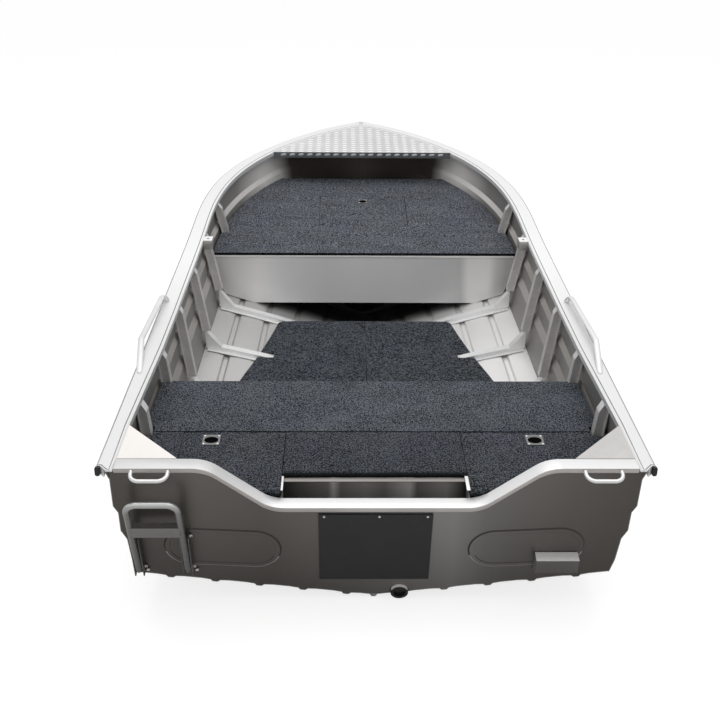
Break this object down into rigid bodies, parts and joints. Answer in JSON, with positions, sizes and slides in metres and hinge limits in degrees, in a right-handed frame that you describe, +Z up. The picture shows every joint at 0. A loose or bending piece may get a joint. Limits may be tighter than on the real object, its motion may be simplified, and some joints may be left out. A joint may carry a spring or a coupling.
{
  "type": "aluminium rowing dinghy",
  "caption": "Open aluminium rowing dinghy with a raised carpeted bow deck, stern seat with side hatches, low motor transom, fold-down boarding ladder and rowlock sockets.",
  "frame": {"origin": "on the centreline at the empty waterline, near the centre of buoyancy, 1.7 m forward of the transom", "axes": "+Y forward to the bow, +X to starboard, +Z up"},
  "size_m": [1.7974, 3.8489, 0.7606],
  "materials": {
    "hull_sheet": "mill finish, pressed sheet",
    "transom_sheet": "brushed, satin",
    "extrusion": "pale satin extrusion",
    "panel": "brushed panel",
    "tread_plate": "bright tread plate",
    "carpet": "charcoal marine carpet on board",
    "knee_plate": "plain sheet",
    "black_plastic": "matt moulded",
    "motor_pad_inner": "matt board",
    "ladder_tube": "satin tube",
    "fittings": "satin",
    "hinge_steel": "stainless hinge",
    "latch_steel": "stainless flush latch",
    "drain_black": "moulded drain"
  },
  "bodies": {
    "hull": {"bottom_plate_starboard": "hull_sheet", "bottom_plate_port": "hull_sheet", "side_plate_starboard": "hull_sheet", "side_plate_port": "hull_sheet", "bottom_frame_1": "hull_sheet", "bottom_frame_2": "hull_sheet", "bottom_frame_3": "hull_sheet", "bottom_frame_4": "hull_sheet", "bottom_frame_5": "hull_sheet", "bottom_frame_6": "hull_sheet", "bottom_frame_7": "hull_sheet", "side_frames_starboard": "hull_sheet", "side_frames_port": "hull_sheet", "keel_bar": "hull_sheet", "transom_plate": "transom_sheet", "gunwale_starboard": "extrusion", "gunwale_port": "extrusion", "transom_cap": "extrusion", "transom_handle_starboard": "extrusion", "transom_handle_port": "extrusion", "side_handle_starboard": "extrusion", "side_handle_port": "extrusion", "bow_riser": "panel", "seat_riser": "panel", "well_wall": "panel", "box_wall_starboard": "panel", "box_wall_port": "panel", "bow_coaming": "panel", "foredeck": "tread_plate", "floor_starboard": "carpet", "floor_port": "carpet", "seat_top": "carpet", "seat_centre": "carpet", "side_board_starboard": "carpet", "side_board_port": "carpet", "bow_deck": "carpet", "knee_starboard": "knee_plate", "knee_port": "knee_plate", "gunwale_plug_starboard": "black_plastic", "gunwale_plug_port": "black_plastic", "motor_pad": "black_plastic", "motor_pad_inside": "motor_pad_inner", "ladder_brackets": "fittings", "transducer_bracket": "fittings", "rowlock_socket_starboard": "fittings", "rowlock_socket_port": "fittings", "bow_eye": "fittings", "stern_hinge_starboard": "hinge_steel", "stern_hinge_port": "hinge_steel", "bow_hinge": "hinge_steel", "drain_fitting": "drain_black"},
    "ladder": {"ladder": "ladder_tube"},
    "stern_lid_port": {"stern_lid_port": "carpet", "latch_port": "latch_steel"},
    "stern_lid_starboard": {"stern_lid_starboard": "carpet", "latch_starboard": "latch_steel"},
    "bow_lid": {"bow_lid": "carpet", "latch_bow": "latch_steel"}
  },
  "joints": [
    {"name": "ladder_fold", "type": "hinge", "parent": "hull", "child": "ladder", "pos_m": [-0.717, -1.63459, 0.08473], "axis": [1, 0, 0], "range_deg": [0, 165]},
    {"name": "hatch_port", "type": "hinge", "parent": "hull", "child": "stern_lid_port", "pos_m": [-0.497, -1.582, 0.379], "axis": [1, 0, 0], "range_deg": [0, 90]},
    {"name": "hatch_starboard", "type": "hinge", "parent": "hull", "child": "stern_lid_starboard", "pos_m": [0.497, -1.582, 0.379], "axis": [1, 0, 0], "range_deg": [0, 90]},
    {"name": "hatch_bow", "type": "hinge", "parent": "hull", "child": "bow_lid", "pos_m": [0, 0.88545, 0.40904], "axis": [1, 0, 0], "range_deg": [0, 95]}
  ]
}
